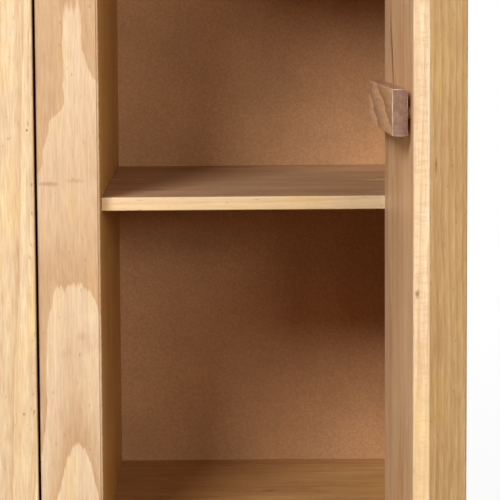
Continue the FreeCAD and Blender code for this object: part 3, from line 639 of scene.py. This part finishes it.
def pine(name, directions, origin=(0, 0, 0), tones="front", second=(), marks=(), ticks=None,
         plank_contrast=0.08, ring_contrast=0.7, streaks=1.0, shaped=None, sawn=SAWN_END, wear_and_highlight=None,
         calm=0.0, gloss=0.35, roughness=0.42, **grain_inputs):
    """A pine material for a board, from its directions, tones, marks and grain."""
    material, tree, shader, place = new_material(name)
    moved = add(tree, "ShaderNodeVectorMath", {0: place, 1: origin}, operation="SUBTRACT").outputs[0]
    across, into, along = (one_axis(tree, moved, axis) for axis in directions)
    local = add(tree, "ShaderNodeCombineXYZ", {"X": across, "Y": into, "Z": along}).outputs[0]
    inputs = GRAIN_INPUTS | grain_inputs | {"place": local}
    if shaped:
        inputs |= arches(tree, place, across, *shaped)
    grain = add(tree, "ShaderNodeGroup", inputs, node_tree=rings).outputs
    facing = face_directions(tree)
    sawn_part = sawn_share(tree, facing, directions, wear_and_highlight)

    early, late = board_tones(tree, place, tones, second)
    darkening = product(tree, grain["late"], ring_contrast)
    shade = grain_shade(tree, grain, plank_contrast, streaks)
    if wear_and_highlight:
        kept = calculate(tree, "MULTIPLY_ADD", sawn_part, -SAWN_RING_LOSS, 1.0)
        darkening = product(tree, darkening, kept)
    if calm:
        axis, level, _ = second[0]
        calmer = product(tree, calculate(tree, "LESS_THAN", one_axis(tree, place, axis), level), calm)
        darkening = product(tree, darkening, calculate(tree, "SUBTRACT", 1.0, calmer))
        shade = calculate(tree, "MULTIPLY_ADD", calculate(tree, "SUBTRACT", 1.0, shade), calmer, shade)
    colour = mix_colours(tree, darkening, early, late)
    colour = mix_colours(tree, 1.0, colour, warm_shade(tree, shade), "MULTIPLY")
    colour = add_resin(tree, grain, colour)
    if ticks:
        colour = add_ticks(tree, place, facing, colour, ticks)
    colour, gloss = add_marks(tree, place, colour, gloss, marks)
    colour = mix_colours(tree, sawn_part, colour, sawn, "MULTIPLY")
    if wear_and_highlight:
        colour = add_wear_and_highlight(tree, place, facing, sawn_part, colour, wear_and_highlight)
    feed(tree, shader, {"Base Color": colour, "Roughness": roughness, "Specular IOR Level": gloss})
    bump(tree, shader, grain["fibre"], FIBRE_RELIEF)
    return material


print("pine ready")

# %% [markdown]
# ## Boards
#
# Places on the boards are read from the CAD model where they follow an edge, and measured
# otherwise. A mark is its middle, how far it reaches along each axis, its colour and its strength.
# Most marks are knots, cracks and stains, and the dark lines along the stiles' edges are painted shade.

# %% Places on the boards
SIDES = ("left", "middle", "right")
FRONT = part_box("stile_left")[0].y
LIPPING_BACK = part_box("shelf_lower")[0].y + 0.0015
BOTTOM_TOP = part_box("bottom_board")[1].z
BODY_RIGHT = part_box("stile_right")[1].x
SIDE_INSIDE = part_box("side_panel_right")[0].x + 0.0005
OPEN_DOOR_LOW, OPEN_DOOR_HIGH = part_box("door_right_panel")
DOOR_EDGE = OPEN_DOOR_LOW.y + 0.0015
DOOR_OUTSIDE = OPEN_DOOR_HIGH.x - 0.0042
STILE_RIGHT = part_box("stile_centre")[1].x
# Where the painted shade on the centre stile's rounded right edge starts, and where its thin dark line
# lies
STILE_EDGE = STILE_RIGHT - 0.0022
STILE_LINE = STILE_EDGE - 0.0009
STILE_PEAK = (0.1625, FRONT, 0.311)
# How far the arches of the centre stile reach to the left and to the right, by height
LEFT_FLANK = (
    (0.25, 0.040), (0.345, 0.040), (0.362, 0.0315), (0.385, 0.0305), (0.446, 0.027), (0.475, 0.0215),
    (0.484, 0.017), (0.492, 0.040), (0.584, 0.040), (0.605, 0.034), (0.6335, 0.0295), (0.652, 0.0255),
    (0.660, 0.0147), (0.667, 0.0097), (0.76, 0.0093), (0.78, 0.008), (0.80, 0.040), (1.70, 0.030))
RIGHT_FLANK = (
    (0.25, 0.040), (0.44, 0.040), (0.45, 0.0235), (0.462, 0.0197), (0.472, 0.0162), (0.484, 0.010),
    (0.492, 0.040), (0.68, 0.028), (0.698, 0.019), (0.713, 0.014), (0.726, 0.009), (0.78, 0.008),
    (0.80, 0.040), (1.70, 0.030))
# How fast the rings fall away sideways: the lowest arch is pointed, the others have flat tops
STILE_SPREAD = ((0.25, 1.3), (0.36, 1.3), (0.42, 0.45), (1.70, 0.45))
# Where the saw ticks of the open door's edge have their middle, half their width and fineness
EDGE_TICKS = (OPEN_DOOR_LOW.x + 0.0075, 0.0075, (110, 110, 380))
print("open door from", OPEN_DOOR_LOW, "to", OPEN_DOOR_HIGH)

# %% Marks on the boards
DARK_KNOT = (0.10, 0.045, 0.02, 1)
YELLOW_STREAK = (0.72, 0.46, 0.20, 1)
YELLOW_EDGE = (0.71, 0.46, 0.205, 1)
STILE_MARKS = [
    # A dark line of painted shade where the edge rounds into its side, the line across in two parts, and
    # three faint patches
    ((STILE_RIGHT + 0.0004, FRONT + 0.0026, 0.80), (0.0020, 0.0024, 1.6), RESIN_AND_PAINTED_SHADE, 1.0),
    ((0.1365, FRONT, 0.5865), (0.012, 0.01, 0.0026), RESIN_AND_PAINTED_SHADE, 0.42),
    ((0.1640, FRONT, 0.5895), (0.011, 0.01, 0.0022), RESIN_AND_PAINTED_SHADE, 0.26),
    ((0.1695, FRONT, 0.4268), (0.006, 0.01, 0.005), RESIN_AND_PAINTED_SHADE, 0.16),
    ((0.1775, FRONT, 0.4150), (0.005, 0.01, 0.007), RESIN_AND_PAINTED_SHADE, 0.16),
    ((0.1510, FRONT, 0.4080), (0.007, 0.01, 0.005), RESIN_AND_PAINTED_SHADE, 0.10),
]
DOOR_MARKS = [
    # A resin crack inside, near the hinges, then a knot and a yellow streak on the free edge
    ((OPEN_DOOR_LOW.x, -0.325, 0.748), (0.012, 0.0050, 0.020), CRACK, 0.8),
    ((OPEN_DOOR_LOW.x, -0.334, 0.733), (0.012, 0.0065, 0.018), CRACK, 0.8),
    ((OPEN_DOOR_LOW.x, -0.343, 0.719), (0.012, 0.0080, 0.018), CRACK, 0.9),
    ((OPEN_DOOR_LOW.x, -0.350, 0.705), (0.012, 0.0065, 0.017), CRACK, 0.8),
    ((OPEN_DOOR_LOW.x, -0.357, 0.692), (0.012, 0.0045, 0.015), CRACK, 0.8),
    ((0.4845, OPEN_DOOR_LOW.y, 0.511), (0.0022, 0.01, 0.004), DARK_KNOT, 0.7),
    ((0.490, OPEN_DOOR_LOW.y, 0.340), (0.030, 0.004, 0.150), YELLOW_EDGE, 0.5),
]
END_STILE_MARKS = [
    # A dash, and a dark line of painted shade along the outer edge, where it turns away from the light
    ((0.5372, FRONT, 0.603), (0.0014, 0.01, 0.010), RESIN_AND_PAINTED_SHADE, 0.6),
    ((BODY_RIGHT, FRONT + 0.0020, 0.80), (0.0012, 0.0024, 1.6), RESIN_AND_PAINTED_SHADE, 0.9),
]
BOTTOM_MARKS = [
    # A knot with a tail
    ((0.3740, 0.0660, BOTTOM_TOP), (0.012, 0.007, 0.01), RESIN_AND_PAINTED_SHADE, 0.75),
    ((0.3480, 0.0600, BOTTOM_TOP), (0.030, 0.004, 0.01), RESIN_AND_PAINTED_SHADE, 0.45),
]
MIDDLE_DOOR_MARKS = [
    # Two specks, and a yellow streak in two parts
    ((0.1139, FRONT, 0.6424), (0.0012, 0.01, 0.0014), DARK_KNOT, 0.8),
    ((0.1067, FRONT, 0.3451), (0.0012, 0.01, 0.0016), DARK_KNOT, 0.8),
    ((0.0997, FRONT, 0.574), (0.006, 0.01, 0.055), YELLOW_STREAK, 0.4),
    ((0.1020, FRONT, 0.350), (0.007, 0.01, 0.13), YELLOW_STREAK, 0.35),
]
print(len(STILE_MARKS + DOOR_MARKS + END_STILE_MARKS + BOTTOM_MARKS + MIDDLE_DOOR_MARKS), "marks")


# %% Dress the carcass
def dress(material, *names):
    """Give CAD nodes a material."""
    for name in names:
        for holder in nodes[name].material_slots:
            holder.material = material


dress(pine("pine_side_left", "yxz", plank_width=0.11, seed=1, tones="partition",
           second=[("x", -SIDE_INSIDE, "front")]), "side_panel_left")
dress(pine("pine_side_right", "yxz", plank_width=0.11, seed=17,
           second=[("x", SIDE_INSIDE, "partition")]), "side_panel_right")
dress(pine("pine_partition", "yxz", plank_width=0.12, seed=2, tones="partition", streaks=1.5),
      "partition_panel")
dress(pine("pine_bottom", "yzx", plank_width=0.08, seed=3, tones="bottom", streaks=1.5,
           marks=BOTTOM_MARKS), "bottom_board")
dress(pine("pine_top", "yzx", plank_width=0.10, seed=4, gloss=0.1, roughness=0.7), "top_board")
dress(pine("pine_shelf", "yzx", seed=5, tones="shelf", streaks=1.5, ring_contrast=1.0, calm=0.7,
           second=[("y", LIPPING_BACK, "lipping")]),
      "shelf_lower", "shelf_middle", "shelf_upper", "hat_shelf")
dress(pine("pine_foot", "xyz", plank_width=0.30, seed=9), "centre_foot")
print("pine on the carcass")

# %% Dress the face frame
# The centre stile's rounded right edge and its side get painted shade
dress(pine("pine_stile_centre", "xyz", STILE_PEAK, "stile_edge_painted_shade", marks=STILE_MARKS,
           second=[("x", STILE_EDGE, "stile_line_painted_shade"), ("x", STILE_LINE, "stile")],
           shaped=(LEFT_FLANK, RIGHT_FLANK, STILE_SPREAD), ring_contrast=1.0, plank_width=1.0,
           pith_depth=0.078, pith_scatter=0, slope=0.089, bend=-0.07, ring=0.013, wander=0.003,
           jagged=0.0019), "stile_centre")
dress(pine("pine_stile_left", "xyz", plank_width=0.14, seed=6), "stile_left")
dress(pine("pine_stile_right", "xyz", tones="end_stile", marks=END_STILE_MARKS, streaks=1.1,
           ring_contrast=0.6, plank_width=1.2, pith_aside=0.3, ring=0.0046, wander=0.007, seed=7,
           slope=0.005), "stile_right")
dress(pine("pine_rail", "zyx", plank_width=0.30, seed=8),
      "rail_bottom", "rail_top", "bottom_cleat", "back_rail_left", "back_rail_right")
print("pine on the face frame")

# %% Dress the doors
dress(pine("pine_door_left", "xyz", plank_width=0.075, pith_scatter=0.12, seed=10), "door_left_panel")
dress(pine("pine_door_middle", "xyz", marks=MIDDLE_DOOR_MARKS, streaks=1.3, plank_width=0.075,
           pith_aside=0.13, pith_scatter=0.10, ring=0.011, seed=16), "door_middle_panel")
# The open door's inner side is paler: partly its own tone, partly painted light
dress(pine("pine_door_right", "yxz", marks=DOOR_MARKS, ticks=EDGE_TICKS,
           second=[("x", DOOR_OUTSIDE, "door_back"), ("y", DOOR_EDGE, "door_edge")],
           plank_contrast=0.2, streaks=1.1, ring_contrast=0.85, plank_width=0.045, seed=11),
      "door_right_panel")
# The battens' rounded edges are pale: partly wear, partly painted highlight
dress(pine("pine_batten_closed", "zyx", tones="batten", sawn=WORN_END, wear_and_highlight=PALE_EDGE_WEAR_AND_HIGHLIGHT,
           plank_width=0.30, seed=12), "door_left_battens", "door_middle_battens")
dress(pine("pine_batten_open", "zxy", tones="batten", sawn=WORN_END, wear_and_highlight=PALE_EDGE_WEAR_AND_HIGHLIGHT, streaks=1.6,
           ring_contrast=1.0, plank_width=0.30, ring=0.010, slope=0.07, wander=0.009, jagged=0.003,
           seed=13), "door_right_battens")
dress(pine("pine_knob_closed", "xzy", plank_width=0.50, seed=14), "door_left_knob", "door_middle_knob")
dress(pine("pine_knob_open", "yzx", plank_width=0.50, seed=15), "door_right_knob")
print("pine on the doors")

# %% [markdown]
# ## Hardboard, metal and plastic

# %% Other materials
HARDBOARD = (0.590, 0.325, 0.154, 1)
CLOUD_SCALE = 14.0
SPECK_SCALE = 420.0
DRAWN_SCALE = (300, 300, 40)
MOTTLE_SCALE = 600.0
SPECK_RELIEF = 0.00005
DRAWN_RELIEF = 0.00001
MOTTLE_RELIEF = 0.00002


def hardboard(name):
    """Pressed fibre board: brown, softly mottled, a little glossy on its smooth side."""
    material, tree, shader, place = new_material(name)
    cloud = noise(tree, place, CLOUD_SCALE, 4.0)
    speck = noise(tree, place, SPECK_SCALE, 4.0)
    shade = product(tree, calculate(tree, "MULTIPLY_ADD", cloud, 0.35, 0.82), vary(tree, speck, 0.65))
    colour = mix_colours(tree, 1.0, HARDBOARD, one_grey(tree, shade), "MULTIPLY")
    feed(tree, shader, {"Base Color": colour, "Roughness": 0.5, "Specular IOR Level": 0.3})
    bump(tree, shader, speck, SPECK_RELIEF)
    return material


def metal(name, colour, roughness):
    """Metal with faint drawn marks."""
    material, tree, shader, place = new_material(name)
    drawn = noise(tree, stretched(tree, place, DRAWN_SCALE), 1.0)
    colour = mix_colours(tree, 1.0, colour, one_grey(tree, vary(tree, drawn, 0.2)), "MULTIPLY")
    feed(tree, shader, {"Base Color": colour, "Roughness": roughness, "Metallic": 1.0})
    bump(tree, shader, drawn, DRAWN_RELIEF)
    return material


def plain(name, colour, roughness):
    """Moulded plastic, fibre or turned beech with a fine mottle."""
    material, tree, shader, place = new_material(name)
    mottle = noise(tree, place, MOTTLE_SCALE)
    colour = mix_colours(tree, 1.0, colour, one_grey(tree, vary(tree, mottle, 0.16)), "MULTIPLY")
    feed(tree, shader, {"Base Color": colour, "Roughness": roughness})
    bump(tree, shader, mottle, MOTTLE_RELIEF)
    return material


print("other materials ready")


# %% Dress the rest
def each_door(fitting):
    """A fitting's node on each of the three doors."""
    return [f"door_{side}_{fitting}" for side in SIDES]


chrome = metal("chromed_steel", (0.72, 0.72, 0.72, 1), 0.18)
zinc = metal("zinc_plated_steel", (0.60, 0.60, 0.60, 1), 0.38)
brass = metal("brassed_steel", (0.66, 0.48, 0.22, 1), 0.32)
dress(hardboard("hardboard"), "back_panel_left", "back_panel_right")
dress(chrome, "hanging_rail", "rail_flanges")
dress(brass, "hinge_frame_leaves", "hinge_pins", *each_door("hinge_leaves"))
dress(zinc, "back_nails", "shelf_pins", "rail_flange_screws", "hinge_frame_screws",
      *each_door("strike_plate"), *each_door("batten_screws"), *each_door("knob_screw"),
      *each_door("hinge_screws"))
dress(plain("spacer_fibre", (0.30, 0.17, 0.09, 1), 0.8), *each_door("batten_spacers"))
dress(plain("catch_plastic", (0.55, 0.33, 0.18, 1), 0.45), "magnetic_catches")
dress(plain("glide_plastic", (0.70, 0.66, 0.58, 1), 0.5), "floor_glides")
dress(plain("beech", (0.62, 0.42, 0.25, 1), 0.6), "dowels", "frame_dowels")
print("hardboard, metal and plastic")

# %% [markdown]
# ## Screws
#
# The screws of the hinges, the battens and the rail flanges have countersunk heads with a cross
# recess, each turned as far as it happened to go. One screw is made in Geometry Nodes and copied to
# each place where the CAD model has one. A disc with a star-shaped hole is filled and the star is
# pushed in for the recess. A cone leads from the rim to the shank.

# %% One screw
SCREW_INPUTS = ("Head Radius", "Head Height", "Shank Radius", "Length", "Recess Width", "Recess Depth")
SCREW_SIDES = 32
RECESS_WAIST = 0.34
MERGE_DISTANCE = 0.00001


def join(tree, *parts):
    """Several geometries as one."""
    joined = add(tree, "GeometryNodeJoinGeometry")
    for part in reversed(parts):
        tree.links.new(part, joined.inputs[0])
    return joined.outputs[0]


def one_screw(tree, given):
    """A screw with its head's face at the origin, pointing up."""
    half_width = product(tree, given["Recess Width"], 0.5)
    narrow = product(tree, half_width, RECESS_WAIST)

    # The head's face with a star-shaped recess
    rim = add(tree, "GeometryNodeCurvePrimitiveCircle",
              {"Resolution": SCREW_SIDES, "Radius": given["Head Radius"]})
    star = add(tree, "GeometryNodeCurveStar",
               {"Points": 4, "Inner Radius": narrow, "Outer Radius": half_width})
    both = join(tree, rim.outputs[0], star.outputs[0])
    face = add(tree, "GeometryNodeFillCurve", {0: both}, mode="TRIANGLES").outputs[0]
    recess = add(tree, "GeometryNodeFillCurve", {0: star.outputs[0]}, mode="NGONS").outputs[0]
    down = add(tree, "ShaderNodeCombineXYZ", {"Z": product(tree, given["Recess Depth"], -1.0)}).outputs[0]
    recess = add(tree, "GeometryNodeExtrudeMesh", {0: recess, "Offset": down}, mode="FACES").outputs[0]

    # The cone under the head, the shank and its end
    sides = {"Vertices": SCREW_SIDES, "Radius Top": given["Shank Radius"]}
    below_face = sides | {"Radius Bottom": given["Head Radius"], "Depth": given["Head Height"]}
    cone = add(tree, "GeometryNodeMeshCone", below_face, fill_type="NONE")
    shank_length = calculate(tree, "SUBTRACT", given["Length"], given["Head Height"])
    below_head = sides | {"Radius Bottom": given["Shank Radius"], "Depth": shank_length}
    shank = add(tree, "GeometryNodeMeshCone", below_head, fill_type="NONE")
    after_head = add(tree, "ShaderNodeCombineXYZ", {"Z": given["Head Height"]}).outputs[0]
    shank = add(tree, "GeometryNodeTransform", {0: shank.outputs[0], "Translation": after_head})
    end = add(tree, "GeometryNodeMeshCircle",
              {"Vertices": SCREW_SIDES, "Radius": given["Shank Radius"]}, fill_type="NGON")
    at_end = add(tree, "ShaderNodeCombineXYZ", {"Z": given["Length"]}).outputs[0]
    end = add(tree, "GeometryNodeTransform", {0: end.outputs[0], "Translation": at_end})
    body = join(tree, cone.outputs[0], shank.outputs[0], end.outputs[0])
    body = add(tree, "GeometryNodeTransform", {0: body, "Rotation": (math.pi, 0, 0)}).outputs[0]
    screw = join(tree, face, recess, body)
    return add(tree, "GeometryNodeMergeByDistance", {0: screw, "Distance": MERGE_DISTANCE}).outputs[0]


print("one screw ready")


# %% Screw tree
def screw_tree():
    """Screws on points, each along its point's direction and turned by chance about it."""
    tree = bpy.data.node_groups.new("driven_screws", "GeometryNodeTree")
    tree.interface.new_socket("Geometry", in_out="INPUT", socket_type="NodeSocketGeometry")
    for name in SCREW_INPUTS:
        tree.interface.new_socket(name, in_out="INPUT", socket_type="NodeSocketFloat")
    tree.interface.new_socket("Seed", in_out="INPUT", socket_type="NodeSocketInt")
    tree.interface.new_socket("Material", in_out="INPUT", socket_type="NodeSocketMaterial")
    tree.interface.new_socket("Geometry", in_out="OUTPUT", socket_type="NodeSocketGeometry")
    given = add(tree, "NodeGroupInput").outputs
    screw = one_screw(tree, given)
    turn = add(tree, "FunctionNodeRandomValue",
               {2: 0.0, 3: math.pi / 2, "Seed": given["Seed"]}, data_type="FLOAT")
    spin = add(tree, "ShaderNodeCombineXYZ", {"Z": turn.outputs[1]}).outputs[0]
    spin = add(tree, "FunctionNodeEulerToRotation", {0: spin}).outputs[0]
    direction = add(tree, "GeometryNodeInputNamedAttribute",
                    {"Name": "direction"}, data_type="FLOAT_VECTOR")
    aligned = add(tree, "FunctionNodeAlignRotationToVector",
                    {"Rotation": spin, "Vector": direction.outputs[0]}, axis="Z")
    placed = add(tree, "GeometryNodeInstanceOnPoints",
                 {"Points": given["Geometry"], "Instance": screw, "Rotation": aligned.outputs[0]})
    real = add(tree, "GeometryNodeRealizeInstances", {0: placed.outputs[0]})
    painted = add(tree, "GeometryNodeSetMaterial", {0: real.outputs[0], "Material": given["Material"]})
    add(tree, "NodeGroupOutput", {0: painted.outputs[0]})
    return tree


driven_screws = screw_tree()
print("screw tree with", len(driven_screws.nodes), "nodes")

# %% [markdown]
# A screw's place is read from the CAD model. Its head's flat face is the largest flat stretch of
# each loose piece of the node: that face's middle is the place, and its normal the direction.

# %% Find the screws
WELD_DISTANCE = 0.000001


def largest_flat(faces):
    """The direction and the middle of the largest flat stretch among some faces."""
    areas = {}
    for face in faces:
        key = tuple(round(part, 2) for part in face.normal)
        areas.setdefault(key, []).append(face)
    flat = max(areas.values(), key=lambda same: sum(face.calc_area() for face in same))
    whole = sum(face.calc_area() for face in flat)
    middle = sum((face.calc_center_median() * face.calc_area() for face in flat), Vector()) / whole
    return flat[0].normal.normalized(), middle


def loose_pieces(name):
    """The faces of each separate solid in a CAD node."""
    mesh = bmesh.new()
    mesh.from_mesh(nodes[name].data)
    bmesh.ops.remove_doubles(mesh, verts=mesh.verts, dist=WELD_DISTANCE)
    left = set(mesh.faces)
    while left:
        piece, edge = set(), [left.pop()]
        while edge:
            face = edge.pop()
            piece.add(face)
            near = {other for corner in face.verts for other in corner.link_faces} & left
            left -= near
            edge += near
        yield piece
    mesh.free()


def screw_spots(name):
    """Each screw's place, direction, head radius and length."""
    for faces in loose_pieces(name):
        direction, middle = largest_flat(faces)
        offsets = [corner.co - middle for face in faces for corner in face.verts]
        length = max(-offset.dot(direction) for offset in offsets)
        head = max((offset - direction * offset.dot(direction)).length for offset in offsets)
        yield middle.copy(), direction.copy(), head, length


print("first batten screw:", next(screw_spots("door_left_batten_screws")))

# %% Drive the screws
FRAME_SCREW_SEED = 6
FLANGE_SCREW_SEED = 7
HEAD_HEIGHT = 0.0012
SHANK_RADIUS = 0.0015
RECESS_WIDTH_SHARE = 1.1
RECESS_DEPTH = 0.0009


def drive(name, body, seed):
    """Put driven screws in the place of a CAD node's screws."""
    spots = sorted(screw_spots(name), key=lambda spot: (round(spot[0].z, 4), spot[0].x))
    points = bpy.data.meshes.new(name + "_driven")
    points.from_pydata([spot[0] for spot in spots], [], [])
    directions = points.attributes.new("direction", "FLOAT_VECTOR", "POINT")
    for number, spot in enumerate(spots):
        directions.data[number].vector = spot[1]
    screws = bpy.data.objects.new(name + "_driven", points)
    bpy.context.scene.collection.objects.link(screws)
    head, length = spots[0][2:]
    values = {
        "Head Radius": head,
        "Head Height": HEAD_HEIGHT,
        "Shank Radius": SHANK_RADIUS,
        "Length": length,
        "Recess Width": head * RECESS_WIDTH_SHARE,
        "Recess Depth": RECESS_DEPTH,
        "Seed": seed,
        "Material": zinc,
    }
    modifier = screws.modifiers.new("screws", "NODES")
    modifier.node_group = driven_screws
    for item in driven_screws.interface.items_tree:
        if item.in_out == "INPUT" and item.name in values:
            modifier[item.identifier] = values[item.name]
    graph = bpy.context.evaluated_depsgraph_get()
    screws.data = bpy.data.meshes.new_from_object(screws.evaluated_get(graph))
    screws.modifiers.clear()
    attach(screws, body)
    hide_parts(name)
    print(name, len(spots), "screws,", len(screws.data.polygons), "faces")


for seed, side in enumerate(SIDES):
    drive(f"door_{side}_batten_screws", f"door_{side}", seed)
    drive(f"door_{side}_hinge_screws", f"door_{side}", seed + len(SIDES))
drive("hinge_frame_screws", "carcass", FRAME_SCREW_SEED)
drive("rail_flange_screws", "carcass", FLANGE_SCREW_SEED)
